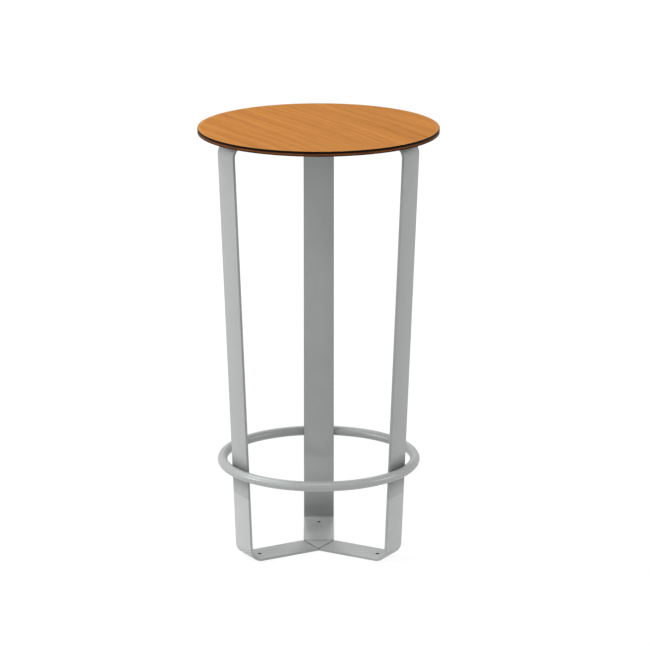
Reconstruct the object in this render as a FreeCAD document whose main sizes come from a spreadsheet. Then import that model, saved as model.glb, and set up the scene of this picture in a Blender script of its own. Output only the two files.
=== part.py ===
import FreeCAD, Part
import Sketcher
import os

# Standing meeting table: three bent straps of flat bar, welded to a triangular plate at the
# floor and to another under the top, a foot ring of round tube outside them, and a round
# laminated top screwed on from below.
# Millimetres, +Z up, origin on the floor in the middle. The rear leg stands at +Y.

os.makedirs("parts", exist_ok=True)
doc = FreeCAD.newDocument("StandingTable")
vector = FreeCAD.Vector
up = vector(0, 0, 1)

# ---------------------------------------------------------------- driving dimensions

sizes = {
    # overall
    "table_height": 1050,
    "top_diameter": 578,
    # layers of the top, from the face down
    "veneer_thickness": 0.8,
    "black_thickness": 4.6,
    "core_thickness": 6.6,
    "rim_break": 0.3,
    # straps
    "strap_width": 75,
    "strap_thickness": 6,
    "bend_radius": 27,
    "edge_break": 0.6,
    "base_radius": 210,
    "head_radius": 255,
    "anchor_diameter": 9,
    "anchor_radius": 166,
    # butt joints between straps and joining plates
    "joint_gap": 0.1,
    "groove_depth": 1.5,
    "seam_fill": 1.0,
    "seam_inset": 2.5,
    # foot ring
    "ring_height": 225,
    "tube_diameter": 24,
    "ring_gap": 0.2,
    # welds between ring and straps, angles in degrees round the tube and round the table
    "bead_top_angle": 10,
    "bead_foot_angle": 50,
    "bead_drop": 5.5,
    "bead_sweep": 4,
    # screws that hold the top
    "inner_screw_radius": 75,
    "outer_screw_radius": 185,
    "screw_diameter": 6,
    "tip_gap": 0.2,
    "head_diameter": 10.5,
    "head_height": 3.3,
    "socket_flats": 4,
    "socket_depth": 2.1,
    "strap_hole_play": 0.6,
    # washers
    "washer_diameter": 12,
    "washer_thickness": 1.6,
    "washer_play": 0.4,
    # threaded inserts in the underside of the top, in holes through the core
    "insert_diameter": 9,
    "insert_end_gap": 0.4,
    "insert_play": 0.1,
    "thread_play": 0.1,
}

sheet = doc.addObject("Spreadsheet::Sheet", "Sizes")
for row, (alias, number) in enumerate(sizes.items(), start=1):
    sheet.set(f"A{row}", alias)
    sheet.set(f"B{row}", str(number))
    sheet.setAlias(f"B{row}", alias)
doc.recompute()

# ---------------------------------------------------------------- derived sizes

top_thickness = "(Sizes.veneer_thickness + Sizes.black_thickness + Sizes.core_thickness)"
frame_height = f"(Sizes.table_height - {top_thickness})"
# distance from the middle to the side of a joining plate, whose side is one strap wide
plate_inradius = "(Sizes.strap_width / 2 * tan(30))"
strap_end = f"({plate_inradius} + Sizes.joint_gap)"
# the legs lean outward from base_radius at the floor to head_radius under the top
lean = f"atan((Sizes.head_radius - Sizes.base_radius) / {frame_height})"
face_at_ring = (f"(Sizes.base_radius + (Sizes.head_radius - Sizes.base_radius)"
                f" * Sizes.ring_height / {frame_height})")
# the ring meets the two outer corners of each strap, where the face ends at the broken edge
corner_across = "(Sizes.strap_width / 2 - Sizes.edge_break)"
corner_radius = f"sqrt({face_at_ring}^2 + {corner_across}^2)"
corner_angle = f"atan({corner_across} / {face_at_ring})"
tube_radius = "(Sizes.tube_diameter / 2)"
ring_radius = f"({corner_radius} + ({tube_radius} + Sizes.ring_gap) / cos({lean}))"

leg_names = ["rear", "left", "right"]
rear_angle = 90
leg_spacing = 360 / len(leg_names)
leg_angles = {name: rear_angle + index * leg_spacing for index, name in enumerate(leg_names)}
screw_places = {"inner": "Sizes.inner_screw_radius", "outer": "Sizes.outer_screw_radius"}

# every sub-part with the number of separate solids it holds
parts = []
solid_counts = {}

# ---------------------------------------------------------------- helpers


def value(expression):
    """The number that an expression over the sheet gives now."""
    result = sheet.evalExpression(expression)
    return getattr(result, "Value", result)


def keep(item, label, solids=1):
    """Names a finished sub-part, which is written to a file of that name."""
    item.Label = label
    parts.append(item)
    solid_counts[label] = solids


def new_body(label, solids=1):
    body = doc.addObject("PartDesign::Body", label)
    body.AllowCompound = solids > 1
    keep(body, label, solids)
    return body


def origin_feature(body, role):
    for feature in body.Origin.OriginFeatures:
        if feature.Role == role:
            return feature


def new_sketch(body, plane_role, offset=None):
    """A sketch on one of the body's own planes, lifted off it by an expression."""
    sketch = body.newObject("Sketcher::SketchObject", body.Label + "_sketch")
    sketch.AttachmentSupport = [(origin_feature(body, plane_role), "")]
    sketch.MapMode = "FlatFace"
    if offset:
        sketch.setExpression("AttachmentOffset.Base.z", offset)
    return sketch


def closed_lines(sketch, points):
    """A closed chain of straight edges; edge n runs from point n to the next."""
    count = len(points)
    for index, start in enumerate(points):
        end = points[(index + 1) % count]
        sketch.addGeometry(Part.LineSegment(vector(*start, 0), vector(*end, 0)), False)
    for index in range(count):
        sketch.addConstraint(Sketcher.Constraint("Coincident", index, 2, (index + 1) % count, 1))


def relate(sketch, kind, *references):
    sketch.addConstraint(Sketcher.Constraint(kind, *references))


def drive(sketch, kind, name, expression, *references):
    """A dimension of the sketch, bound to the sheet."""
    index = sketch.addConstraint(Sketcher.Constraint(kind, *references, value(expression)))
    sketch.renameConstraint(index, name)
    sketch.setExpression("Constraints." + name, expression)


def add_circle(sketch, name, diameter, across="0", along="0"):
    """A circle whose centre and diameter are bound to the sheet."""
    centre = vector(value(across), value(along), 0)
    circle = sketch.addGeometry(Part.Circle(centre, up, value(diameter) / 2), False)
    drive(sketch, "Diameter", name + "_diameter", diameter, circle)
    if across == "0":
        relate(sketch, "PointOnObject", circle, 3, -2)
    else:
        drive(sketch, "DistanceX", name + "_across", across, circle, 3)
    if along == "0":
        relate(sketch, "PointOnObject", circle, 3, -1)
    else:
        drive(sketch, "DistanceY", name + "_along", along, circle, 3)
    return circle


def pad(body, sketch, length, symmetric=False, downward=False):
    feature = body.newObject("PartDesign::Pad", body.Label + "_pad")
    feature.Profile = sketch
    feature.SideType = "Symmetric" if symmetric else "One side"
    feature.Reversed = downward
    feature.setExpression("Length", length)
    doc.recompute()
    return feature


def pocket(body, sketch, depth, upward=False):
    """A cut below the sketch, or above it, which must take material away."""
    before = body.Shape.Volume
    feature = body.newObject("PartDesign::Pocket", body.Label + "_pocket")
    feature.Profile = sketch
    feature.Reversed = upward
    feature.setExpression("Length", depth)
    doc.recompute()
    if body.Shape.Volume >= before:
        raise RuntimeError(body.Label + ": a pocket cuts nothing")
    return feature


def revolve(body, sketch, angle=None):
    """A turn round the body's own Z axis, full unless an angle is given."""
    feature = body.newObject("PartDesign::Revolution", body.Label + "_revolution")
    feature.Profile = sketch
    feature.ReferenceAxis = (origin_feature(body, "Z_Axis"), [""])
    feature.Angle = 360
    if angle:
        feature.setExpression("Angle", angle)
    doc.recompute()
    return feature


def pattern_round(body, feature=None):
    """Copies of a feature, or of all that the body holds, one to each leg."""
    pattern = body.newObject("PartDesign::PolarPattern", body.Label + "_pattern")
    if feature:
        pattern.Originals = [feature]
    else:
        pattern.TransformMode = "Whole shape"
    pattern.Axis = (origin_feature(body, "Z_Axis"), [""])
    pattern.Angle = 360
    pattern.Occurrences = len(leg_names)
    body.Tip = pattern
    doc.recompute()
    return pattern


def dress(body, kind, size_property, size, chosen):
    """A fillet or chamfer on the edges of the body's tip for which chosen(edge) holds."""
    base = body.Tip
    names = [f"Edge{number}" for number, edge in enumerate(base.Shape.Edges, start=1)
             if chosen(edge)]
    feature = body.newObject("PartDesign::" + kind, body.Label + "_" + kind.lower())
    feature.Base = (base, names)
    feature.setExpression(size_property, size)
    doc.recompute()
    return feature


def near(first, second):
    return abs(first - second) < 1e-4


def across_strap(edge):
    """True for a straight edge parallel to the Y axis."""
    box = edge.BoundBox
    return max(box.XLength, box.ZLength) < 1e-4 < box.YLength


def turn(body, angle):
    """Turns the body from +X about the table's axis by an expression."""
    body.setExpression("Placement.Rotation.Angle", angle)


# ---------------------------------------------------------------- tabletop


def make_layer(label, thickness, bottom):
    """One layer of the top, made from its own underside up."""
    body = new_body(label)
    outline = new_sketch(body, "XY_Plane")
    add_circle(outline, "rim", "Sizes.top_diameter")
    pad(body, outline, thickness)
    body.setExpression("Placement.Base.z", bottom)
    return body


def break_rim(body, height):
    """Breaks the rim of a layer at a height above its own bottom."""
    def on_rim(edge):
        box = edge.BoundBox
        return near(box.XLength, value("Sizes.top_diameter")) and near(box.ZMin, height)
    dress(body, "Chamfer", "Size", "Sizes.rim_break", on_rim)


def drill_for_inserts(body):
    """Holes through a layer for the threaded inserts, two above each arm."""
    holes = new_sketch(body, "XY_Plane")
    for name, radius in screw_places.items():
        add_circle(holes, name, "Sizes.insert_diameter + Sizes.insert_play", "0", radius)
    pattern_round(body, pocket(body, holes, "Sizes.core_thickness", upward=True))


black_bottom = f"{frame_height} + Sizes.core_thickness"
veneer_bottom = f"{black_bottom} + Sizes.black_thickness"

veneer = make_layer("tabletop_veneer", "Sizes.veneer_thickness", veneer_bottom)
break_rim(veneer, value("Sizes.veneer_thickness"))
make_layer("tabletop_black_layer", "Sizes.black_thickness", black_bottom)
core = make_layer("tabletop_core", "Sizes.core_thickness", frame_height)
break_rim(core, 0)
drill_for_inserts(core)

# ---------------------------------------------------------------- legs


def leg_outline(sketch):
    """The strap from the side: foot, leaning leg and arm, with sharp corners."""
    start = value(strap_end)
    top = value(frame_height)
    thick = value("Sizes.strap_thickness")
    base = value("Sizes.base_radius")
    head = value("Sizes.head_radius")
    closed_lines(sketch, [(start, 0), (base, 0), (head, top), (start, top), (start, top - thick),
                          (head - thick, top - thick), (base - thick, thick), (start, thick)])
    foot_bottom, outer_face, arm_top, arm_end, arm_bottom, inner_face, foot_top, foot_end = range(8)
    for level in (foot_bottom, arm_top, arm_bottom, foot_top):
        relate(sketch, "Horizontal", level)
    for upright in (arm_end, foot_end):
        relate(sketch, "Vertical", upright)
    relate(sketch, "Vertical", foot_bottom, 1, arm_top, 2)
    relate(sketch, "PointOnObject", foot_bottom, 1, -1)
    relate(sketch, "Parallel", outer_face, inner_face)
    drive(sketch, "DistanceX", "strap_end", strap_end, foot_bottom, 1)
    drive(sketch, "DistanceX", "base_radius", "Sizes.base_radius", outer_face, 1)
    drive(sketch, "DistanceX", "head_radius", "Sizes.head_radius", outer_face, 2)
    drive(sketch, "DistanceY", "frame_height", frame_height, outer_face, 2)
    drive(sketch, "Distance", "foot_thickness", "Sizes.strap_thickness", foot_end)
    drive(sketch, "Distance", "arm_thickness", "Sizes.strap_thickness", arm_end)
    drive(sketch, "Distance", "leg_thickness", "Sizes.strap_thickness", inner_face, 1, outer_face)


def make_leg(name):
    """One strap of flat bar, bent twice, with its anchor hole and its two screw holes."""
    body = new_body(name + "_leg")
    outline = new_sketch(body, "XZ_Plane")
    leg_outline(outline)
    pad(body, outline, "Sizes.strap_width", symmetric=True)

    start = value(strap_end)
    top = value(frame_height)
    thick = value("Sizes.strap_thickness")

    def at_end(edge):
        return near(edge.BoundBox.XMin, start)

    def on_outside(edge):
        return near(edge.BoundBox.ZMin, 0) or near(edge.BoundBox.ZMin, top)

    def on_inside(edge):
        return near(edge.BoundBox.ZMin, thick) or near(edge.BoundBox.ZMin, top - thick)

    def outside_bend(edge):
        return across_strap(edge) and not at_end(edge) and on_outside(edge)

    def inside_bend(edge):
        return across_strap(edge) and not at_end(edge) and on_inside(edge)

    def groove_edge(edge):
        return across_strap(edge) and at_end(edge) and on_inside(edge)

    def long_edge(edge):
        box = edge.BoundBox
        return box.YLength < 1e-4 and box.XMax > start + value("Sizes.groove_depth") + 1e-4

    dress(body, "Fillet", "Radius", "Sizes.bend_radius + Sizes.strap_thickness", outside_bend)
    dress(body, "Fillet", "Radius", "Sizes.bend_radius", inside_bend)
    dress(body, "Chamfer", "Size", "Sizes.groove_depth", groove_edge)
    dress(body, "Chamfer", "Size", "Sizes.edge_break", long_edge)

    anchor = new_sketch(body, "XY_Plane")
    add_circle(anchor, "anchor", "Sizes.anchor_diameter", "Sizes.anchor_radius")
    pocket(body, anchor, "Sizes.strap_thickness", upward=True)

    screw_holes = new_sketch(body, "XY_Plane", frame_height)
    for place_name, radius in screw_places.items():
        add_circle(screw_holes, place_name, "Sizes.screw_diameter + Sizes.strap_hole_play", radius)
    pocket(body, screw_holes, "Sizes.strap_thickness")

    turn(body, str(leg_angles[name]))
    return body


legs = {name: make_leg(name) for name in leg_names}

# ---------------------------------------------------------------- joining plates and seams


def set_under_top(body, angle):
    """Turns a floor-level piece upside down about its own Y axis, up under the tabletop."""
    flip = FreeCAD.Rotation(vector(0, 1, 0), 180)
    body.Placement = FreeCAD.Placement(vector(0, 0, 0), FreeCAD.Rotation(up, angle) * flip)
    body.setExpression("Placement.Base.z", frame_height)


def make_plate(label):
    """A triangle with one side against each strap and a weld groove along each side."""
    body = new_body(label)
    outline = new_sketch(body, "XY_Plane")
    side = value("Sizes.strap_width")
    near_side = value(plate_inradius)
    closed_lines(outline, [(-side / 2, near_side), (side / 2, near_side), (0, -2 * near_side)])
    relate(outline, "Symmetric", 0, 1, 0, 2, -2)
    relate(outline, "Equal", 0, 1)
    relate(outline, "Equal", 0, 2)
    drive(outline, "Distance", "side", "Sizes.strap_width", 0)
    drive(outline, "DistanceY", "inradius", plate_inradius, 0, 1)
    pad(body, outline, "Sizes.strap_thickness")

    def groove_edge(edge):
        return edge.BoundBox.ZLength < 1e-4 and near(edge.BoundBox.ZMin, body.Shape.BoundBox.ZMax)
    dress(body, "Chamfer", "Size", "Sizes.groove_depth", groove_edge)
    return body


def make_seam(label):
    """Weld metal in the groove between a plate and a strap that runs out along +X."""
    body = new_body(label)
    section = new_sketch(body, "XZ_Plane")
    gap = value("Sizes.joint_gap")
    fill = value("Sizes.seam_fill")
    root = value("Sizes.strap_thickness - Sizes.groove_depth")
    middle = value(plate_inradius) + gap / 2
    closed_lines(section, [(middle - gap / 2, root), (middle + gap / 2, root),
                           (middle + gap / 2 + fill, root + fill),
                           (middle - gap / 2 - fill, root + fill)])
    relate(section, "Horizontal", 0)
    relate(section, "Horizontal", 2)
    relate(section, "Equal", 1, 3)
    drive(section, "DistanceX", "inradius", plate_inradius, 0, 1)
    drive(section, "DistanceY", "root", "Sizes.strap_thickness - Sizes.groove_depth", 0, 1)
    drive(section, "Distance", "gap", "Sizes.joint_gap", 0)
    drive(section, "Distance", "width", "Sizes.joint_gap + 2 * Sizes.seam_fill", 2)
    drive(section, "DistanceY", "fill", "Sizes.seam_fill", 1, 1, 1, 2)
    pad(body, section, "Sizes.strap_width - 2 * Sizes.seam_inset", symmetric=True)
    return body


make_plate("base_plate")
set_under_top(make_plate("head_plate"), 0)
for name in leg_names:
    turn(make_seam("base_weld_" + name), str(leg_angles[name]))
for name in leg_names:
    # the flip about Y turns +X to -X, so the seam is turned half a turn further
    set_under_top(make_seam("head_weld_" + name), leg_angles[name] + 180)

# ---------------------------------------------------------------- foot ring


def make_ring():
    """A closed round ring that rests against the outer corners of the straps."""
    body = new_body("foot_ring")
    section = new_sketch(body, "XZ_Plane")
    add_circle(section, "outside", "Sizes.tube_diameter", ring_radius, "Sizes.ring_height")
    revolve(body, section)


make_ring()

# radius of the middle of the strap's thickness, measured halfway along a bead
behind_face = (f"({face_at_ring} - Sizes.strap_thickness / 2)"
               f" / cos({corner_angle} - Sizes.bead_sweep / 2 * 1 deg)")
bead_top = f"Sizes.ring_height - {tube_radius} * sin(Sizes.bead_top_angle)"
bead_foot = f"Sizes.ring_height - {tube_radius} * sin(Sizes.bead_foot_angle)"


def bead_outline(sketch):
    """Section of a weld bead: an arc along the tube, a slope to the strap, and a stretch
    behind the strap's face, which the strap then cuts away."""
    centre = vector(value(ring_radius), value("Sizes.ring_height"), 0)
    radius = value(tube_radius)
    top_angle = 180 + value("Sizes.bead_top_angle")
    foot_angle = 180 + value("Sizes.bead_foot_angle")

    def on_tube(angle):
        return centre + FreeCAD.Rotation(up, angle).multVec(vector(radius, 0, 0))
    arc_top = on_tube(top_angle)
    arc_foot = on_tube(foot_angle)
    low_corner = vector(value(behind_face), value(f"{bead_foot} - Sizes.bead_drop"), 0)
    high_corner = vector(value(behind_face), arc_top.y, 0)
    sketch.addGeometry(Part.Arc(arc_top, on_tube((top_angle + foot_angle) / 2), arc_foot), False)
    sketch.addGeometry(Part.LineSegment(arc_foot, low_corner), False)
    sketch.addGeometry(Part.LineSegment(low_corner, high_corner), False)
    sketch.addGeometry(Part.LineSegment(high_corner, arc_top), False)
    arc, slope, back, roof = range(4)
    relate(sketch, "Coincident", arc, 2, slope, 1)
    relate(sketch, "Coincident", slope, 2, back, 1)
    relate(sketch, "Coincident", back, 2, roof, 1)
    relate(sketch, "Coincident", roof, 2, arc, 1)
    relate(sketch, "Vertical", back)
    relate(sketch, "Horizontal", roof)
    drive(sketch, "DistanceX", "ring_radius", ring_radius, arc, 3)
    drive(sketch, "DistanceY", "ring_height", "Sizes.ring_height", arc, 3)
    drive(sketch, "Radius", "tube_radius", tube_radius, arc)
    drive(sketch, "DistanceX", "behind_face", behind_face, back, 1)
    drive(sketch, "DistanceY", "drop", f"{bead_foot} - Sizes.bead_drop", back, 1)
    drive(sketch, "DistanceY", "top", bead_top, arc, 1)
    drive(sketch, "DistanceY", "foot", bead_foot, arc, 2)


def make_bead(name, side_name, side):
    """A short weld under the ring at one outer corner of a leg. side is 1 for the corner that
    lies anticlockwise of the leg, seen from above, and -1 for the other."""
    label = f"ring_weld_{name}_{side_name}"
    blank = doc.addObject("PartDesign::Body", label + "_blank")
    section = new_sketch(blank, "XZ_Plane")
    bead_outline(section)
    revolve(blank, section, "Sizes.bead_sweep")
    start = f"{corner_angle} - Sizes.bead_sweep * 1 deg" if side > 0 else f"0 deg - {corner_angle}"
    turn(blank, f"{leg_angles[name]} deg + {start}")
    bead = doc.addObject("Part::Cut", label)
    bead.Base = blank
    bead.Tool = legs[name]
    doc.recompute()
    keep(bead, label)


bead_sides = {
    "rear": {"left": 1, "right": -1},
    "left": {"front": 1, "back": -1},
    "right": {"back": 1, "front": -1},
}
for name, sides in bead_sides.items():
    for side_name, side in sides.items():
        make_bead(name, side_name, side)

# ---------------------------------------------------------------- fasteners

# All are made along the rear leg, on the Y axis, and then repeated round the table's axis.
fastener_count = len(screw_places) * len(leg_names)
washer_bottom = f"{frame_height} - Sizes.strap_thickness - Sizes.washer_thickness"
# the screws pass the washer, the strap and the core, and stop short of the black layer
screw_length = ("Sizes.washer_thickness + Sizes.strap_thickness + Sizes.core_thickness"
                " - Sizes.tip_gap")
insert_length = "Sizes.core_thickness - Sizes.insert_end_gap"
socket_corner = "Sizes.socket_flats / 2 / cos(30)"


def add_hexagon(sketch, name, along):
    """A hexagonal socket centred on the Y axis of the sketch."""
    first = sketch.GeometryCount
    centre = vector(0, value(along), 0)
    corners = [centre + FreeCAD.Rotation(up, 60 * turn_number).multVec(
               vector(value(socket_corner), 0, 0)) for turn_number in range(6)]
    for start, end in zip(corners, corners[1:] + corners[:1]):
        sketch.addGeometry(Part.LineSegment(start, end), False)
    guide = sketch.addGeometry(Part.Circle(centre, up, value(socket_corner)), True)
    for side in range(6):
        relate(sketch, "Coincident", first + side, 2, first + (side + 1) % 6, 1)
        relate(sketch, "PointOnObject", first + side, 1, guide)
    for side in range(5):
        relate(sketch, "Equal", first + side, first + side + 1)
    relate(sketch, "Horizontal", first, 1, guide, 3)
    relate(sketch, "PointOnObject", guide, 3, -2)
    drive(sketch, "DistanceY", name + "_along", along, guide, 3)
    drive(sketch, "Radius", name + "_corner", socket_corner, guide)


def make_screws():
    """Machine screws, heads down, each with a hexagonal socket."""
    body = new_body("top_screws", fastener_count)
    heads = new_sketch(body, "XY_Plane", washer_bottom)
    shanks = new_sketch(body, "XY_Plane", washer_bottom)
    for name, radius in screw_places.items():
        add_circle(heads, name, "Sizes.head_diameter", "0", radius)
        add_circle(shanks, name, "Sizes.screw_diameter", "0", radius)
    pad(body, heads, "Sizes.head_height", downward=True)
    pad(body, shanks, screw_length)
    sockets = new_sketch(body, "XY_Plane", f"{washer_bottom} - Sizes.head_height")
    for name, radius in screw_places.items():
        add_hexagon(sockets, name, radius)
    pocket(body, sockets, "Sizes.socket_depth", upward=True)
    pattern_round(body)


def make_bushes(label, outside, bore, length, bottom):
    """Round bushes, all alike, one round each screw."""
    body = new_body(label, fastener_count)
    section = new_sketch(body, "XY_Plane", bottom)
    for name, radius in screw_places.items():
        add_circle(section, name + "_outside", outside, "0", radius)
        add_circle(section, name + "_bore", bore, "0", radius)
    pad(body, section, length)
    pattern_round(body)


make_screws()
make_bushes("top_washers", "Sizes.washer_diameter", "Sizes.screw_diameter + Sizes.washer_play",
            "Sizes.washer_thickness", washer_bottom)
make_bushes("top_inserts", "Sizes.insert_diameter", "Sizes.screw_diameter + Sizes.thread_play",
            insert_length, frame_height)

# ---------------------------------------------------------------- checks and files

doc.recompute()
for item in doc.Objects:
    if "Invalid" in item.State or "Error" in item.State:
        raise RuntimeError(f"{item.Label} did not compute: {item.State}")
for item in parts:
    shape = item.Shape
    if shape.isNull() or not shape.isValid() or len(shape.Solids) != solid_counts[item.Label]:
        raise RuntimeError(f"{item.Label} is not valid, or is not as many solids as it should be")

for item in parts:
    item.Shape.exportStep(f"parts/{item.Label}.step")
    box = item.Shape.BoundBox
    print(f"{item.Label}: volume {item.Shape.Volume:.1f} mm3, "
          f"z {box.ZMin:.2f} to {box.ZMax:.2f}")
print(f"{len(parts)} sub-parts, ring radius {value(ring_radius):.2f} mm")
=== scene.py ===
import math
import bpy
from mathutils import Euler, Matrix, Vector


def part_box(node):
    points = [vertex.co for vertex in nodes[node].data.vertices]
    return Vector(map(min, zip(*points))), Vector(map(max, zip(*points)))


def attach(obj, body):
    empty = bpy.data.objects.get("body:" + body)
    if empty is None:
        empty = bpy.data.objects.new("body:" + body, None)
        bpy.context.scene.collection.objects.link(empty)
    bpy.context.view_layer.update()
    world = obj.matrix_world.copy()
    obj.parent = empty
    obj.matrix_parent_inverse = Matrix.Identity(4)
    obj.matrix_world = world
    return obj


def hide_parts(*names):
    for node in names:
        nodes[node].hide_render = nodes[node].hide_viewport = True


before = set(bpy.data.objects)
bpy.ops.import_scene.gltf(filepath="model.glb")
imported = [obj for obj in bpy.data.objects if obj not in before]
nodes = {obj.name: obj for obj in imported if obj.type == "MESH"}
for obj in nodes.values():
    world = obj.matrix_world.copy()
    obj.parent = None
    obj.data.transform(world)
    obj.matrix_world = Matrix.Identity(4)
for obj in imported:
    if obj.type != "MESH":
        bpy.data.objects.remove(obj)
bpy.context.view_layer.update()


# small helpers for working on one piece at a time

closeBy = 1e-5  # points nearer than this count as being in the same place
mergeReach = 2e-6  # points nearer than this are merged


def clearSelection():
    if bpy.context.mode != "OBJECT":
        bpy.ops.object.mode_set(mode="OBJECT")
    bpy.ops.object.select_all(action="DESELECT")


def focusOn(piece):
    clearSelection()
    piece.select_set(True)
    bpy.context.view_layer.objects.active = piece


def started(name):
    # names what was just added
    piece = bpy.context.active_object
    piece.name = name
    piece.data.name = name
    return piece


def emptyChoice(piece, kind):
    # clears the selection on the piece and sets the kind that is chosen next
    focusOn(piece)
    bpy.ops.object.mode_set(mode="EDIT")
    bpy.ops.mesh.select_mode(type=kind)
    bpy.ops.mesh.select_all(action="DESELECT")
    bpy.ops.object.mode_set(mode="OBJECT")


def chooseFaces(piece, test):
    # leaves edit mode on, with the faces selected that pass the test of centre and normal
    emptyChoice(piece, "FACE")
    for face in piece.data.polygons:
        face.select = test(face.center, face.normal)
    bpy.ops.object.mode_set(mode="EDIT")


def chooseEdges(piece, test):
    # leaves edit mode on, with the edges selected whose two ends pass the test
    emptyChoice(piece, "EDGE")
    points = piece.data.vertices
    for edge in piece.data.edges:
        edge.select = test(*(points[end].co for end in edge.vertices))
    bpy.ops.object.mode_set(mode="EDIT")


def applyPlace(piece):
    focusOn(piece)
    bpy.ops.object.transform_apply(location=True, rotation=True, scale=True)


def applyModifiers(piece):
    focusOn(piece)
    for name in [modifier.name for modifier in piece.modifiers]:
        bpy.ops.object.modifier_apply(modifier=name)


def cutWith(piece, cutter):
    # takes the cutter's volume out of the piece and deletes the cutter
    boolean = piece.modifiers.new("cut", "BOOLEAN")
    boolean.operation = "DIFFERENCE"
    boolean.solver = "EXACT"
    boolean.object = cutter
    applyModifiers(piece)
    bpy.data.objects.remove(cutter)


def easeEdges(piece, width, segments, sharpest):
    # rounds every edge that turns by more than an angle
    eased = piece.modifiers.new("eased edges", "BEVEL")
    eased.width = width
    eased.segments = segments
    eased.limit_method = "ANGLE"
    eased.angle_limit = math.radians(sharpest)
    applyModifiers(piece)


def cleanNormals(piece):
    # merges doubled points and makes the faces agree
    focusOn(piece)
    bpy.ops.object.mode_set(mode="EDIT")
    bpy.ops.mesh.select_mode(type="FACE")
    bpy.ops.mesh.select_all(action="SELECT")
    bpy.ops.mesh.remove_doubles(threshold=mergeReach)
    bpy.ops.mesh.normals_make_consistent(inside=False)
    bpy.ops.object.mode_set(mode="OBJECT")


def smoothed(piece, angle=30):
    focusOn(piece)
    bpy.ops.object.shade_smooth_by_angle(angle=math.radians(angle))


def turnedCopy(piece, name, degrees, lift=0, flip=False):
    # a copy with its own mesh, turned about the table's axis; flip turns it upside down first
    focusOn(piece)
    bpy.ops.object.duplicate(linked=False)
    copy = started(name)
    if flip:
        copy.rotation_euler = (0, math.pi, 0)
        applyPlace(copy)
    copy.rotation_euler = (0, 0, math.radians(degrees))
    copy.location = (0, 0, lift)
    applyPlace(copy)
    return copy


def corners(nodeName):
    return [Vector(corner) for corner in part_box(nodeName)]


def standsFor(piece, material, slotName, *nodeNames):
    piece.data.materials.clear()
    piece.data.materials.append(material)
    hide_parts(*nodeNames)
    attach(piece, "root")


def dressNode(nodeName, material):
    piece = nodes[nodeName]
    for holder in piece.material_slots:
        holder.material = material
    if not piece.material_slots:
        piece.data.materials.append(material)


# the rear leg stands at +Y, and the other two are turned on from it

legTurns = {"rear": 0, "left": 120, "right": 240}
toRear = 90  # from +X, where a strap is modelled, to +Y

# the hole that each foot is fixed through; the wall is what lies within reach of its middle

anchorHole = {
    "place": 0.166,
    "radius": 0.0045,
    "floorRadius": 0.0044,
    "middleHeight": 0.0025,
    "wallReach": (0.0058, 0.0062),
}


def turnedPoint(point, degrees):
    moved = Vector(point)
    moved.rotate(Euler((0, 0, math.radians(degrees))))
    return moved


print("frame loaded")

# camera

cameraView = {
    "place": (0.01539, -8.0548, 2.6958),
    "tiltDown": 14.847,
    "lens": 190.6,
    "sensorWidth": 36,
    "farthest": 200,
}

clearSelection()
tilt = math.radians(90 - cameraView["tiltDown"])
bpy.ops.object.camera_add(location=cameraView["place"], rotation=(tilt, 0, 0))
camera = started("camera")
camera.data.lens = cameraView["lens"]
camera.data.sensor_width = cameraView["sensorWidth"]
camera.data.clip_end = cameraView["farthest"]
bpy.context.scene.camera = camera

# small helpers for materials


def newMaterial(name):
    material = bpy.data.materials.new(name)
    material.use_nodes = True
    material.node_tree.nodes.clear()
    return material, material.node_tree


def addNode(tree, kind, label=None, **settings):
    node = tree.nodes.new(kind)
    if label:
        node.label = label
    for key, setting in settings.items():
        setattr(node, key, setting)
    return node


def link(tree, source, target):
    # the source is another socket, or else a number, vector or colour for the target itself
    if isinstance(source, bpy.types.NodeSocket):
        tree.links.new(source, target)
    elif target.type == "RGBA":
        target.default_value = (*source, 1)
    else:
        target.default_value = source


def calc(tree, operation, first, *others, clamp=False):
    # math nodes in a row, one for each further input; a root or absolute value has none
    for other in others or (0,):
        node = addNode(tree, "ShaderNodeMath", operation=operation, use_clamp=clamp)
        link(tree, first, node.inputs[0])
        link(tree, other, node.inputs[1])
        first = node.outputs[0]
    return first


def vectorCalc(tree, label, operation, first, second=None):
    node = addNode(tree, "ShaderNodeVectorMath", label, operation=operation)
    link(tree, first, node.inputs[0])
    if second is not None:
        link(tree, second, node.inputs[1])
    return node.outputs


def spread(tree, source, low, high, newLow=0, newHigh=1, smooth=False):
    node = addNode(tree, "ShaderNodeMapRange")
    node.interpolation_type = "SMOOTHSTEP" if smooth else "LINEAR"
    link(tree, source, node.inputs["Value"])
    ends = {"From Min": low, "From Max": high, "To Min": newLow, "To Max": newHigh}
    for title, number in ends.items():
        node.inputs[title].default_value = number
    return node.outputs[0]


def mixColours(tree, amount, first, second):
    node = addNode(tree, "ShaderNodeMix", data_type="RGBA", blend_type="MIX")
    for index, entry in ((0, amount), (6, first), (7, second)):
        link(tree, entry, node.inputs[index])
    return node.outputs[2]


def mixShaders(tree, amount, first, second):
    node = addNode(tree, "ShaderNodeMixShader")
    for index, entry in enumerate((amount, first, second)):
        link(tree, entry, node.inputs[index])
    return node.outputs[0]


def finishWith(tree, shader, kind="ShaderNodeOutputMaterial"):
    link(tree, shader, addNode(tree, kind).inputs["Surface"])


def objectPlace(tree):
    return addNode(tree, "ShaderNodeTexCoord").outputs["Object"]


def heightOf(tree, vector):
    apart = addNode(tree, "ShaderNodeSeparateXYZ")
    link(tree, vector, apart.inputs[0])
    return apart.outputs["Z"]


def fromAxis(tree, vector):
    # distance from the table's upright axis
    flat = vectorCalc(tree, "without height", "MULTIPLY", vector, (1, 1, 0))["Vector"]
    return vectorCalc(tree, "distance from the axis", "LENGTH", flat)["Value"]


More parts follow.
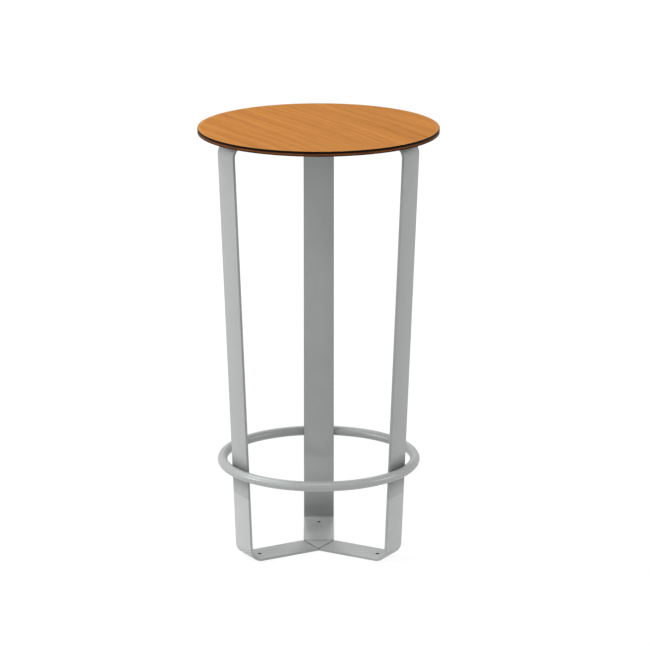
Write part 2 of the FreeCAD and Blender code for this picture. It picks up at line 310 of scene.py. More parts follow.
def anyViewRay(tree):
    # 1 for what the camera sees straight or in a reflection or through glass
    path = addNode(tree, "ShaderNodeLightPath").outputs
    return calc(tree, "MAXIMUM", path["Is Camera Ray"], path["Is Glossy Ray"],
                path["Is Transmission Ray"])


# studio

studio = {
    "floorSize": 60,
    "floorDrop": 0.0006,
    "floorBounce": (0.86, 0.66),
    "bounceRadii": (0.6, 1.5),
    "holeDrop": 0.0003,
    "holeSides": 32,
    "holeShade": 0.02,
    "floorSeen": 0.13,
    "floorGlow": (0.90, 0.965),
    "glowRadii": (0.8, 3.5),
    "domeStrength": 0.46,
    "backdropStrength": 1,
    "aim": (0, 0, 0.55),
    "lamps": {
        "leftSoftbox": {"place": (-4.756, -0.839, 1.844), "size": 1.0, "power": 70},
        "rightSoftbox": {"place": (4.756, -0.839, 1.844), "size": 1.0, "power": 38},
        "lowFrontLamp": {"place": (-1.0, -1.5, 0.5), "size": 0.6, "power": 2.4},
        "highFrontLamp": {"place": (0.0, -2.113, 5.082), "size": 1.0, "power": 36},
        "frontLeftLamp": {"place": (-3.062, -1.768, 4.086), "size": 1.0, "power": 26},
        "frontRightLamp": {"place": (2.5, -2.5, 4.086), "size": 1.0, "power": 10},
        "highLeftLamp": {"place": (-2.79, 1.301, 4.49), "size": 1.0, "power": 64},
        "backLamp": {"place": (0.0, 3.83, 3.764), "size": 1.0, "power": 26},
    },
}


def makeFloorPaint():
    # white to look at, with the table's shadow on it; it gives back most light near the table
    material, tree = newMaterial("studioFloorPaint")
    reach = vectorCalc(tree, "distance from the table", "LENGTH", objectPlace(tree))["Value"]
    bounce = addNode(tree, "ShaderNodeBsdfDiffuse", "bounce")
    given = spread(tree, reach, *studio["bounceRadii"], *studio["floorBounce"], smooth=True)
    link(tree, given, bounce.inputs["Color"])
    shown = addNode(tree, "ShaderNodeBsdfDiffuse", "takes the shadow")
    link(tree, (studio["floorSeen"],) * 3, shown.inputs["Color"])
    glow = addNode(tree, "ShaderNodeEmission", "white")
    strength = spread(tree, reach, *studio["glowRadii"], *studio["floorGlow"])
    link(tree, strength, glow.inputs["Strength"])
    both = addNode(tree, "ShaderNodeAddShader")
    link(tree, shown.outputs[0], both.inputs[0])
    link(tree, glow.outputs[0], both.inputs[1])
    finishWith(tree, mixShaders(tree, anyViewRay(tree), bounce.outputs[0], both.outputs[0]))
    return material


def makeFloor():
    clearSelection()
    bpy.ops.mesh.primitive_plane_add(size=studio["floorSize"], location=(0, 0, -studio["floorDrop"]))
    floor = started("studioFloor")
    applyPlace(floor)
    floor.data.materials.append(makeFloorPaint())


def paintHoleShadows():
    # painted shade: a dark disc on the floor under each foot's hole, standing for the shade inside the
    # hole
    material, tree = newMaterial("paintedHoleShadow")
    dark = addNode(tree, "ShaderNodeBsdfDiffuse", "painted shade in the hole")
    link(tree, (studio["holeShade"],) * 3, dark.inputs["Color"])
    finishWith(tree, dark.outputs[0])
    for side, turn in legTurns.items():
        clearSelection()
        middle = turnedPoint((anchorHole["place"], 0, -studio["holeDrop"]), toRear + turn)
        bpy.ops.mesh.primitive_circle_add(
            vertices=studio["holeSides"], radius=anchorHole["floorRadius"], fill_type="NGON",
            location=middle)
        spot = started(side + "HoleShadowDisc")
        applyPlace(spot)
        spot.data.materials.append(material)


def makeWorld():
    world = bpy.data.worlds.new("studioWorld")
    world.use_nodes = True
    bpy.context.scene.world = world
    tree = world.node_tree
    tree.nodes.clear()
    sides = []
    for label, strength in (("dome", "domeStrength"), ("white backdrop", "backdropStrength")):
        side = addNode(tree, "ShaderNodeBackground", label)
        link(tree, (1, 1, 1), side.inputs["Color"])
        link(tree, studio[strength], side.inputs["Strength"])
        sides.append(side.outputs[0])
    finishWith(tree, mixShaders(tree, anyViewRay(tree), *sides), "ShaderNodeOutputWorld")


def hangLamps():
    for name, lamp in studio["lamps"].items():
        clearSelection()
        hook = Vector(lamp["place"])
        turn = (Vector(studio["aim"]) - hook).to_track_quat("-Z", "Y").to_euler()
        bpy.ops.object.light_add(type="AREA", location=hook, rotation=turn)
        light = started(name).data
        light.shape = "DISK"
        light.size = lamp["size"]
        light.energy = lamp["power"]


makeFloor()
paintHoleShadows()
makeWorld()
hangLamps()
bpy.context.scene.view_settings.view_transform = "Standard"
print("camera, floor and lamps set")

# effects that several finishes share, each a node group


def newGroup(name, inputs, outputs):
    # inputs are titles with their first numbers, None for a vector; outputs are all numbers
    group = bpy.data.node_groups.new(name, "ShaderNodeTree")
    for title, start in inputs.items():
        kind = "NodeSocketVector" if start is None else "NodeSocketFloat"
        socket = group.interface.new_socket(title, in_out="INPUT", socket_type=kind)
        if start is not None:
            socket.default_value = start
    for title in outputs:
        group.interface.new_socket(title, in_out="OUTPUT", socket_type="NodeSocketFloat")
    given = group.nodes.new("NodeGroupInput").outputs
    return group, given, group.nodes.new("NodeGroupOutput").inputs


def noise(tree, vector, scale, detail, roughness, distortion=0):
    node = addNode(tree, "ShaderNodeTexNoise")
    settings = {"Vector": vector, "Scale": scale, "Detail": detail, "Roughness": roughness,
                "Distortion": distortion}
    for title, entry in settings.items():
        link(tree, entry, node.inputs[title])
    return node.outputs["Fac"]


def stretched(tree, vector, scale, turn=(0, 0, 0)):
    # turned first and then stretched, so that the pattern runs along its own axes
    turned = addNode(tree, "ShaderNodeMapping", vector_type="POINT")
    turned.inputs["Rotation"].default_value = [math.radians(angle) for angle in turn]
    link(tree, vector, turned.inputs["Vector"])
    pulled = addNode(tree, "ShaderNodeMapping", vector_type="POINT")
    pulled.inputs["Scale"].default_value = scale
    link(tree, turned.outputs[0], pulled.inputs["Vector"])
    return pulled.outputs[0]


def marks(tree, vector, kind, scale=None):
    # noise cut to its range; its grain is detail, roughness and distortion, and scale is given
    # where a group's input sets it
    if "stretch" in kind:
        vector = stretched(tree, vector, kind["stretch"], kind.get("turn", (0, 0, 0)))
    cloud = noise(tree, vector, kind["scale"] if scale is None else scale, *kind["grain"])
    return spread(tree, cloud, *kind["range"])


orangePeelMarks = {
    "dimplesPerMetre": 900,
    "dimples": {"grain": (2, 0.45), "height": 0.6},
    "waves": {"grain": (2, 0.5), "height": 0.9, "size": 0.18},
    "patches": {"grain": (4, 0.6), "range": (0.32, 0.68), "size": 0.012},
}


def makeOrangePeel():
    # the dimpled skin of a sprayed or baked finish
    group, given, result = newGroup(
        "orangePeel", {"Vector": None, "Dimples per metre": orangePeelMarks["dimplesPerMetre"]},
        ["Height", "Patches"])
    vector = given["Vector"]
    size = given["Dimples per metre"]
    fine, wide, patchy = (orangePeelMarks[name] for name in ("dimples", "waves", "patches"))
    dimples = noise(group, vector, size, *fine["grain"])
    waves = noise(group, vector, calc(group, "MULTIPLY", size, wide["size"]), *wide["grain"])
    height = calc(group, "ADD", calc(group, "MULTIPLY", dimples, fine["height"]),
                  calc(group, "MULTIPLY", waves, wide["height"]))
    link(group, height, result["Height"])
    patches = marks(group, vector, patchy, calc(group, "MULTIPLY", size, patchy["size"]))
    link(group, patches, result["Patches"])
    return group


dustMarks = {
    "amount": 0.5,
    "cloud": {"scale": 9, "grain": (5, 0.65), "range": (0.42, 0.75)},
    "cloudShare": 0.6,
    "specks": {"scale": 1400, "grain": (1, 0.5), "range": (0.66, 0.72)},
    "speckShare": 0.5,
    "alongRubs": {"stretch": (60, 60, 9), "scale": 4, "grain": (3, 0.6), "range": (0.6, 0.72)},
    "acrossRubs": {"stretch": (7, 70, 70), "turn": (0, 0, 35), "scale": 2, "grain": (2, 0.5),
                   "range": (0.5, 0.66)},
}


def makeDust():
    # fine settled dust and faint rub marks, as masks
    group, given, result = newGroup(
        "dustAndRubs", {"Vector": None, "Amount": dustMarks["amount"]}, ["Dust", "Rubs"])
    cloud, specks, along, across = (
        marks(group, given["Vector"], dustMarks[name])
        for name in ("cloud", "specks", "alongRubs", "acrossRubs"))
    dust = calc(group, "ADD", calc(group, "MULTIPLY", cloud, dustMarks["cloudShare"]),
                calc(group, "MULTIPLY", specks, dustMarks["speckShare"]))
    link(group, calc(group, "MULTIPLY", dust, given["Amount"]), result["Dust"])
    link(group, calc(group, "MULTIPLY", along, across, given["Amount"]), result["Rubs"])
    return group


pressedMarks = {
    "layersPerMetre": 2500,
    "Lines": {"stretch": (0.004, 0.004, 1), "grain": (3, 0.6), "range": (0.3, 0.7)},
    "Streaks": {"stretch": (1, 1, 26), "scale": 22, "grain": (4, 0.62), "range": (0.33, 0.67)},
    "Chips": {"scale": 620, "grain": (2, 0.5), "range": (0.64, 0.74)},
}


def makePressedLayers():
    # thin layers of pressed sheet seen on their cut edge, lying flat one on another
    group, given, result = newGroup(
        "pressedLayers", {"Vector": None, "Layers per metre": pressedMarks["layersPerMetre"]},
        ["Lines", "Streaks", "Chips"])
    lines = marks(group, given["Vector"], pressedMarks["Lines"], given["Layers per metre"])
    link(group, lines, result["Lines"])
    for title in ("Streaks", "Chips"):
        link(group, marks(group, given["Vector"], pressedMarks[title]), result[title])
    return group


grainMarks = {
    "Bands": {"stretch": (0.7, 25, 1), "scale": 1.9, "grain": (4, 0.6, 0.2), "range": (0.28, 0.72)},
    "Fibres": {"stretch": (4.5, 210, 1), "scale": 1.6, "grain": (4, 0.65), "range": (0.3, 0.7)},
    "Pores": {"stretch": (34, 900, 1), "scale": 1.5, "grain": (2, 0.5), "range": (0.60, 0.72)},
    "Rays": {"stretch": (26, 60, 1), "scale": 1.2, "grain": (2, 0.5), "range": (0.56, 0.72)},
}
grainDrift = {"stretch": (1.1, 2.2, 1), "scale": 2.0, "grain": (2, 0.5), "width": 0.035}


def makeWoodGrain():
    # straight grain along the pattern's own X axis: wide bands, fine fibres and short pores
    group, given, result = newGroup("woodGrain", {"Vector": None}, list(grainMarks))
    vector = given["Vector"]
    drift = noise(group, stretched(group, vector, grainDrift["stretch"]), grainDrift["scale"],
                  *grainDrift["grain"])
    shift = addNode(group, "ShaderNodeCombineXYZ")
    link(group, calc(group, "MULTIPLY", drift, grainDrift["width"]), shift.inputs["Y"])
    path = vectorCalc(group, "slow wander", "ADD", vector, shift.outputs[0])["Vector"]
    for title, kind in grainMarks.items():
        link(group, marks(group, path, kind), result[title])
    return group


orangePeel = makeOrangePeel()
dustAndRubs = makeDust()
pressedLayers = makePressedLayers()
woodGrain = makeWoodGrain()


def useGroup(tree, group, **values):
    # puts a group in a material with its own values
    node = addNode(tree, "ShaderNodeGroup", group.name)
    node.node_tree = group
    for title, entry in values.items():
        link(tree, entry, node.inputs[title.replace("_", " ")])
    return node.outputs


def surface(tree, colour, roughness, height, bump, **constants):
    # the shader at the end of every finish; constants go straight on its own sockets
    shader = addNode(tree, "ShaderNodeBsdfPrincipled")
    for title, number in constants.items():
        shader.inputs[title.replace("_", " ")].default_value = number
    link(tree, colour, shader.inputs["Base Color"])
    link(tree, roughness, shader.inputs["Roughness"])
    relief = addNode(tree, "ShaderNodeBump")
    relief.inputs["Distance"].default_value, relief.inputs["Strength"].default_value = bump
    link(tree, height, relief.inputs["Height"])
    link(tree, relief.outputs[0], shader.inputs["Normal"])
    finishWith(tree, shader.outputs[0])


powderCoatLook = {
    "colour": (0.382, 0.399, 0.393),
    "thinColour": (0.357, 0.373, 0.368),
    "seamColour": (0.085, 0.089, 0.087),
    "seamThinColour": (0.066, 0.069, 0.068),
    "beadColour": (0.110, 0.115, 0.113),
    "beadThinColour": (0.070, 0.073, 0.072),
    # painted shade for the walls of the anchor holes
    "holeShadeColour": (0.050, 0.052, 0.051),
    "dustColour": (0.56, 0.56, 0.54),
    "dust": 0.12,
    "rubs": 0.5,
    "roughness": (0.36, 0.44),
    "roughnessSpan": (0, 1.2),
    "metallic": 0.2,
    "specular": 0.5,
    "dimples": 900,
    "bump": (0.0002, 0.35),
}

# painted light: a lighter band low on the legs, standing for floor light on them; sides says how far a
# skin faces away from the table's axis

floorLightBandLook = {
    "colour": (1, 1, 1),
    "top": 0.162,
    "softness": 0.0005,
    "fade": (0.008, 0.035),
    "sides": (-0.02, 0.02),
    "lift": (0.05, 0.15),
}

# painted shade: where the coat is painted darker and made duller

paintedShadeLook = {
    "colour": (0.02, 0.02, 0.02),
    "dulling": 0.6,
    "innerSides": (-0.03, -0.01),
    "bendRise": (0.0068, 0.0132),
    "bendFall": (0.012, 0.175),
    "bendAmount": 0.60,
    "topRise": (0.84, 1.02),
    "topAmount": 0.17,
    "edgeReach": (0.0348, 0.0372),
    "edgeLift": (0.012, 0.04),
    "edgeAmount": 0.20,
    "outerSides": (-0.01, 0.01),
    "ringReach": 0.042,
    "ringLowering": 0.005,
    "ringAmount": 0.42,
    "insideReach": (-0.9, 0.3),
    "insideAmount": 0.19,
}


def outwardness(tree, vector):
    # above 0 on the outer skin of a leg and below 0 on its inner skin
    normal = addNode(tree, "ShaderNodeTexCoord").outputs["Normal"]
    return vectorCalc(tree, "outer or inner skin", "DOT_PRODUCT", vector, normal)["Value"]


def paintedFloorLight(tree, vector):
    # painted light: the coat is painted lighter low on the upright legs, up to a level line, most on the
    # outside, standing for floor light
    height = heightOf(tree, vector)
    top, softness = floorLightBandLook["top"], floorLightBandLook["softness"]
    below = spread(tree, height, top - softness, top + softness, 1, 0)
    above = spread(tree, height, *floorLightBandLook["fade"], smooth=True)
    lift = spread(tree, outwardness(tree, vector), *floorLightBandLook["sides"], *floorLightBandLook["lift"])
    return calc(tree, "MULTIPLY", below, above, lift)


def paintedShadeInBends(tree, vector):
    # painted shade: darker in the inner bends, most at the foot, and a little darker high on the inner
    # skin under the tabletop
    height = heightOf(tree, vector)
    rise = spread(tree, height, *paintedShadeLook["bendRise"], smooth=True)
    fall = spread(tree, height, *paintedShadeLook["bendFall"], 1, 0)
    low = calc(tree, "MULTIPLY", rise, fall, fall, paintedShadeLook["bendAmount"])
    high = spread(tree, height, *paintedShadeLook["topRise"], 0, paintedShadeLook["topAmount"])
    inner = spread(tree, outwardness(tree, vector), *paintedShadeLook["innerSides"], 1, 0)
    return calc(tree, "MULTIPLY", calc(tree, "MAXIMUM", low, high), inner)


def ringMeasures():
    # radius and height of the ring's middle line, and the radius of its tube
    low, high = corners("foot_ring")
    tube = (high.z - low.z) / 2
    return (high.x - low.x) / 2 - tube, (low.z + high.z) / 2, tube


def paintedShadeByRing(tree, vector):
    # painted shade: darker on the straps' outer skin round the foot ring, centred a little below it
    radius, level, tube = ringMeasures()
    across = calc(tree, "SUBTRACT", fromAxis(tree, vector), radius)
    up = calc(tree, "SUBTRACT", heightOf(tree, vector), level - paintedShadeLook["ringLowering"])
    squares = calc(tree, "ADD", calc(tree, "MULTIPLY", across, across),
                   calc(tree, "MULTIPLY", up, up))
    near = spread(tree, calc(tree, "SQRT", squares), tube, tube + paintedShadeLook["ringReach"], 1, 0,
                  smooth=True)
    outer = spread(tree, outwardness(tree, vector), *paintedShadeLook["outerSides"])
    return calc(tree, "MULTIPLY", near, outer, paintedShadeLook["ringAmount"])


def paintedShadeAtEdges(tree, vector):
    # painted shade: darker along the sides of the straps, above the feet
    reaches = []
    for turn in legTurns.values():
        sideways = turnedPoint((1, 0, 0), turn)
        across = vectorCalc(tree, "across a strap", "DOT_PRODUCT", vector, sideways)["Value"]
        reaches.append(calc(tree, "ABSOLUTE", across))
    nearest = calc(tree, "MINIMUM", *reaches)
    edge = spread(tree, nearest, *paintedShadeLook["edgeReach"], smooth=True)
    upright = spread(tree, heightOf(tree, vector), *paintedShadeLook["edgeLift"], smooth=True)
    return calc(tree, "MULTIPLY", edge, upright, paintedShadeLook["edgeAmount"])


def paintedShadeOnStrap(tree, vector):
    return calc(tree, "MAXIMUM", paintedShadeInBends(tree, vector), paintedShadeByRing(tree, vector),
                paintedShadeAtEdges(tree, vector))


def paintedShadeOnRing(tree, vector):
    # painted shade: the inner side of the ring is darker
    radius, _, tube = ringMeasures()
    low, high = (radius + tube * part for part in paintedShadeLook["insideReach"])
    return spread(tree, fromAxis(tree, vector), low, high, paintedShadeLook["insideAmount"], 0)


def paintedHoleShade(tree, vector):
    # painted shade: 1 on the walls of the three drilled anchor holes, which are coloured dark
    reaches = []
    for turn in legTurns.values():
        middle = turnedPoint((anchorHole["place"], 0, anchorHole["middleHeight"]), toRear + turn)
        gap = vectorCalc(tree, "distance from a hole", "DISTANCE", vector, middle)["Value"]
        reaches.append(gap)
    return spread(tree, calc(tree, "MINIMUM", *reaches), *anchorHole["wallReach"], 1, 0)


def makePowderCoat(name, full, thin, shading=None, dulling=0):
    # full and thin name its colours; the optional function says where painted shade makes it darker and
    # duller
    look = powderCoatLook
    material, tree = newMaterial(name)
    vector = objectPlace(tree)
    peel = useGroup(tree, orangePeel, Vector=vector, Dimples_per_metre=look["dimples"])
    dust = useGroup(tree, dustAndRubs, Vector=vector, Amount=look["dust"])
    base = mixColours(tree, peel["Patches"], look[thin], look[full])
    # painted light: a lighter band low on the legs
    coat = mixColours(tree, paintedFloorLight(tree, vector), base, floorLightBandLook["colour"])
    roughness = spread(tree, calc(tree, "ADD", peel["Patches"], dust["Dust"]),
                       *look["roughnessSpan"], *look["roughness"])
    rubbed = calc(tree, "SUBTRACT", roughness, calc(tree, "MULTIPLY", dust["Rubs"], look["rubs"]))
    # painted shade: darker and duller where the function says
    if shading:
        amount = shading(tree, vector)
        coat = mixColours(tree, amount, coat, paintedShadeLook["colour"])
        rubbed = calc(tree, "ADD", rubbed, calc(tree, "MULTIPLY", amount, dulling), clamp=True)
    dusty = mixColours(tree, dust["Dust"], coat, look["dustColour"])
    # painted shade: the anchor hole walls are coloured dark
    colour = mixColours(tree, paintedHoleShade(tree, vector), dusty, look["holeShadeColour"])
    surface(tree, colour, rubbed, peel["Height"], look["bump"], Metallic=look["metallic"],
            Specular_IOR_Level=look["specular"])
    return material


woodLook = {
    "grainTurn": (0, 0, 60),
    "light": (0.640, 0.258, 0.046),
    "middle": (0.490, 0.181, 0.026),
    "dark": (0.310, 0.102, 0.012),
    "pore": (0.220, 0.066, 0.009),
    "evenness": 0.35,
    "fibreShare": 0.4,
    "rayShare": 0.15,
    "poreShare": 0.5,
    # painted highlight colour along the rim
    "rim": (0.690, 0.300, 0.075),
    "rimHighlightRadii": (0.279, 0.286),
    "rimHighlightLift": (0, 0.45),
    "edgeHeights": (1.04975, 1.0499),
    "edgeRadii": (0.2876, 0.2879),
    "edgeColour": (0.0025, 0.0018, 0.0016),
    "roughness": (0.62, 0.50),
    "dust": 0.3,
    "rubs": 0.3,
    "specular": 0.02,
    "fibreHeight": 0.5,
    "bump": (0.00008, 0.35),
}


def makeWood():
    look = woodLook
    material, tree = newMaterial("honeyVeneer")
    vector = objectPlace(tree)
    along = stretched(tree, vector, (1, 1, 1), look["grainTurn"])
    grain = useGroup(tree, woodGrain, Vector=along)
    dust = useGroup(tree, dustAndRubs, Vector=vector, Amount=look["dust"])
    wide = mixColours(tree, grain["Bands"], look["dark"], look["light"])
    colour = mixColours(tree, look["evenness"], wide, look["middle"])
    for title, share, shade in (("Fibres", "fibreShare", "light"), ("Rays", "rayShare", "light"),
                                ("Pores", "poreShare", "pore")):
        amount = calc(tree, "MULTIPLY", grain[title], look[share])
        colour = mixColours(tree, amount, colour, look[shade])
    # painted highlight: lighter along the rim, where the eased edge catches the light
    radial = fromAxis(tree, vector)
    rim = spread(tree, radial, *look["rimHighlightRadii"], *look["rimHighlightLift"], smooth=True)
    highlighted = mixColours(tree, rim, colour, look["rim"])
    # the eased edge cuts through the thin veneer and shows the black layer
    cut = calc(tree, "MAXIMUM", spread(tree, heightOf(tree, vector), *look["edgeHeights"], 1, 0),
               spread(tree, radial, *look["edgeRadii"]))
    roughness = spread(tree, grain["Fibres"], 0, 1, *look["roughness"])
    rubbed = calc(tree, "SUBTRACT", roughness, calc(tree, "MULTIPLY", dust["Rubs"], look["rubs"]))
    fibres = calc(tree, "MULTIPLY", grain["Fibres"], look["fibreHeight"])
    surface(tree, mixColours(tree, cut, highlighted, look["edgeColour"]), rubbed,
            calc(tree, "SUBTRACT", fibres, grain["Pores"]), look["bump"],
            Specular_IOR_Level=look["specular"])
    return material


blackLook = {
    "colour": (0.0025, 0.0018, 0.0016),
    "lineColour": (0.010, 0.006, 0.005),
    "layersPerMetre": 3000,
    "dustColour": (0.05, 0.045, 0.04),
    "dust": 0.25,
    "dustShare": 0.12,
    "roughness": (0.46, 0.58),
    "specular": 0.03,
    "bump": (0.00008, 0.4),
}


def makeBlackLaminate():
    look = blackLook
    material, tree = newMaterial("blackPressedLayer")
    vector = objectPlace(tree)
    layers = useGroup(tree, pressedLayers, Vector=vector, Layers_per_metre=look["layersPerMetre"])
    dust = useGroup(tree, dustAndRubs, Vector=vector, Amount=look["dust"])
    lined = mixColours(tree, layers["Lines"], look["colour"], look["lineColour"])
    settled = calc(tree, "MULTIPLY", dust["Dust"], look["dustShare"])
    surface(tree, mixColours(tree, settled, lined, look["dustColour"]),
            spread(tree, layers["Streaks"], 0, 1, *look["roughness"]),
            calc(tree, "SUBTRACT", layers["Lines"], layers["Chips"]), look["bump"],
            Specular_IOR_Level=look["specular"])
    return material


brownLook = {
    "colour": (0.210, 0.058, 0.015),
    "dark": (0.016, 0.0035, 0.001),
    "pale": (0.340, 0.150, 0.060),
    "layersPerMetre": 1500,
    "lineShare": 0.35,
    "chipShare": 0.5,
    "lowerEdge": (1.0392, 1.0418),
    "lowerColour": (0.020, 0.005, 0.0015),
    "lowerShade": (0.9, 0),
    "roughness": (0.48, 0.62),
    "specular": 0.04,
    "bump": (0.0001, 0.5),
}


def makeBrownLaminate():
    look = brownLook
    material, tree = newMaterial("redBrownPressedLayer")
    vector = objectPlace(tree)
    layers = useGroup(tree, pressedLayers, Vector=vector, Layers_per_metre=look["layersPerMetre"])
    body = mixColours(tree, layers["Streaks"], look["dark"], look["colour"])
    lit = mixColours(tree, calc(tree, "MULTIPLY", layers["Lines"], look["lineShare"]), body, look["pale"])
    chipped = mixColours(tree, calc(tree, "MULTIPLY", layers["Chips"], look["chipShare"]), lit,
                         look["dark"])
    # darker towards the underside
    shade = spread(tree, heightOf(tree, vector), *look["lowerEdge"], *look["lowerShade"])
    surface(tree, mixColours(tree, shade, chipped, look["lowerColour"]),
            spread(tree, layers["Lines"], 0, 1, *look["roughness"]),
            calc(tree, "SUBTRACT", layers["Lines"], layers["Chips"]), look["bump"],
            Specular_IOR_Level=look["specular"])
    return material


metalLook = {
    "zinc": (0.60, 0.60, 0.57),
    "zincBlue": (0.50, 0.54, 0.58),
    "zincRings": 5200,
    "brass": (0.72, 0.52, 0.24),
    "brassDull": (0.45, 0.31, 0.14),
    "brassRings": 4200,
    "ringStretch": (0.02, 0.02, 1),
    "ringGrain": (2, 0.5),
    "dimples": 2200,
    "dustColour": (0.25, 0.24, 0.22),
    "dust": 0.3,
    "dustShare": 0.4,
    "roughnessSpan": (0.4, 1.6),
    "roughness": (0.24, 0.42),
    "bump": (0.00005, 0.4),
}


def makeMetal(name, bright, dull, ringsPerMetre):
    # turned metal: fine rings round each piece's height, with duller patches
    look = metalLook
    material, tree = newMaterial(name)
    vector = objectPlace(tree)
    peel = useGroup(tree, orangePeel, Vector=vector, Dimples_per_metre=look["dimples"])
    dust = useGroup(tree, dustAndRubs, Vector=vector, Amount=look["dust"])
    rings = noise(tree, stretched(tree, vector, look["ringStretch"]), look[ringsPerMetre],
                  *look["ringGrain"])
    base = mixColours(tree, peel["Patches"], look[dull], look[bright])
    settled = calc(tree, "MULTIPLY", dust["Dust"], look["dustShare"])
    surface(tree, mixColours(tree, settled, base, look["dustColour"]),
            spread(tree, calc(tree, "ADD", rings, peel["Patches"]), *look["roughnessSpan"],
                   *look["roughness"]),
            calc(tree, "ADD", rings, peel["Height"]), look["bump"], Metallic=1.0)
    return material


powderCoat = makePowderCoat("silverGreyPowderCoat", "colour", "thinColour")
# the strap and ring coats carry painted shade
shadedStrapCoat = makePowderCoat("strapPowderCoatPaintedShade", "colour", "thinColour", paintedShadeOnStrap,
                           paintedShadeLook["dulling"])
shadedRingCoat = makePowderCoat("ringPowderCoatPaintedShade", "colour", "thinColour", paintedShadeOnRing)
beadCoat = makePowderCoat("thinBeadCoat", "beadColour", "beadThinColour")
seamCoat = makePowderCoat("darkSeamCoat", "seamColour", "seamThinColour")
wood = makeWood()
blackLaminate = makeBlackLaminate()
brownLaminate = makeBrownLaminate()
zinc = makeMetal("brightZincPlate", "zinc", "zincBlue", "zincRings")
brass = makeMetal("turnedBrass", "brass", "brassDull", "brassRings")
print("finishes made")

# tabletop: three round layers pressed together, of which the lowest is the solid itself

topLayers = {
    "segments": 320,
    "rimRounding": 0.0009,
    "rimSegments": 2,
    "faceInset": 0.012,
    "flatFrom": 0.9,
}


def makeLayer(name, nodeName, material, slotName, eased=False):
    # a disc as high as its layer; eased rounds its upper rim
    low, high = corners(nodeName)
    radius = (high.x - low.x) / 2
    clearSelection()
    bpy.ops.mesh.primitive_cylinder_add(
        vertices=topLayers["segments"], radius=radius, depth=high.z - low.z,
        location=(0, 0, (low.z + high.z) / 2))
    disc = started(name)
    applyPlace(disc)
    chooseFaces(disc, lambda centre, normal: abs(normal.z) > topLayers["flatFrom"])
    bpy.ops.mesh.inset(thickness=topLayers["faceInset"])
    if eased:
        chooseEdges(disc, lambda a, b: all(
            abs(p.z - high.z) < closeBy and abs(p.xy.length - radius) < closeBy for p in (a, b)))
        bpy.ops.mesh.bevel(offset=topLayers["rimRounding"], segments=topLayers["rimSegments"],
                           affect="EDGES")
    smoothed(disc)
    standsFor(disc, material, slotName, nodeName)


makeLayer("topFace", "tabletop_veneer", wood, "wood_face", True)
makeLayer("topBlackLayer", "tabletop_black_layer", blackLaminate, "black_laminate")
dressNode("tabletop_core", brownLaminate)
print("tabletop made")

# legs: one strap of flat bar, bent twice and copied round

strap = {
    "width": 0.075,
    "thickness": 0.006,
    "bendRadius": 0.027,
    "baseRadius": 0.210,
    "headRadius": 0.255,
    "end": 0.02175,
    "bendSteps": 22,
    "groove": 0.0028,
    "edgeRounding": 0.0006,
    "edgeSegments": 3,
    "edgeAngle": 40,
    "screwPlaces": (0.075, 0.185),
    "screwRadius": 0.0033,
    "holeSides": 48,
    "drillLength": 0.02,
    "smoothAngle": 35,
}


def drillStrap(piece, across, height, radius):
    clearSelection()
    bpy.ops.mesh.primitive_cylinder_add(
        vertices=strap["holeSides"], radius=radius, depth=strap["drillLength"],
        location=(across, 0, height))
    cutter = started("drill")
    applyPlace(cutter)
    cutWith(piece, cutter)


def bendSkin(skin, angle, centre):
    # spins the chosen edge round the middle of a bend
    bpy.ops.mesh.spin(steps=strap["bendSteps"], angle=angle, center=centre, axis=(0, 1, 0))


def drawSkin(name, height):
    # the outer skin of a strap that runs out along +X: foot, bend, leg, bend and arm
    lean = math.atan((strap["headRadius"] - strap["baseRadius"]) / height)
    outer = strap["bendRadius"] + strap["thickness"]
    lowTurn = math.pi / 2 - lean
    highTurn = math.pi / 2 + lean
    lowTangent = strap["baseRadius"] - outer * math.tan(lowTurn / 2)
    highTangent = strap["headRadius"] - outer * math.tan(highTurn / 2)
    lowEnd = Vector((lowTangent + outer * math.sin(lowTurn), 0, outer - outer * math.cos(lowTurn)))
    highEnd = Vector((highTangent + outer * math.sin(highTurn), 0,
                      height - outer + outer * math.cos(highTurn)))
    clearSelection()
    bpy.ops.mesh.primitive_plane_add(size=1, location=((strap["end"] + lowTangent) / 2, 0, 0))
    skin = started(name)
    skin.scale = (lowTangent - strap["end"], strap["width"], 1)
    applyPlace(skin)
    chooseEdges(skin, lambda a, b: min(a.x, b.x) > lowTangent - closeBy)
    bendSkin(skin, lowTurn, (lowTangent, 0, outer))
    chooseEdges(skin, lambda a, b: min(a.z, b.z) > lowEnd.z - closeBy)
    bpy.ops.mesh.extrude_region_move(TRANSFORM_OT_translate={"value": highEnd - lowEnd})
    chooseEdges(skin, lambda a, b: min(a.z, b.z) > highEnd.z - closeBy)
    bendSkin(skin, highTurn, (highTangent, 0, height - outer))
    chooseEdges(skin, lambda a, b: min(a.z, b.z) > height - closeBy and abs(a.x - b.x) < closeBy)
    bpy.ops.mesh.extrude_region_move(
        TRANSFORM_OT_translate={"value": (strap["end"] - highTangent, 0, 0)})
    cleanNormals(skin)
    foot = min(skin.data.polygons, key=lambda face: face.center.z)
    if foot.normal.z > 0:
        chooseFaces(skin, lambda centre, normal: True)
        bpy.ops.mesh.flip_normals()
    return skin


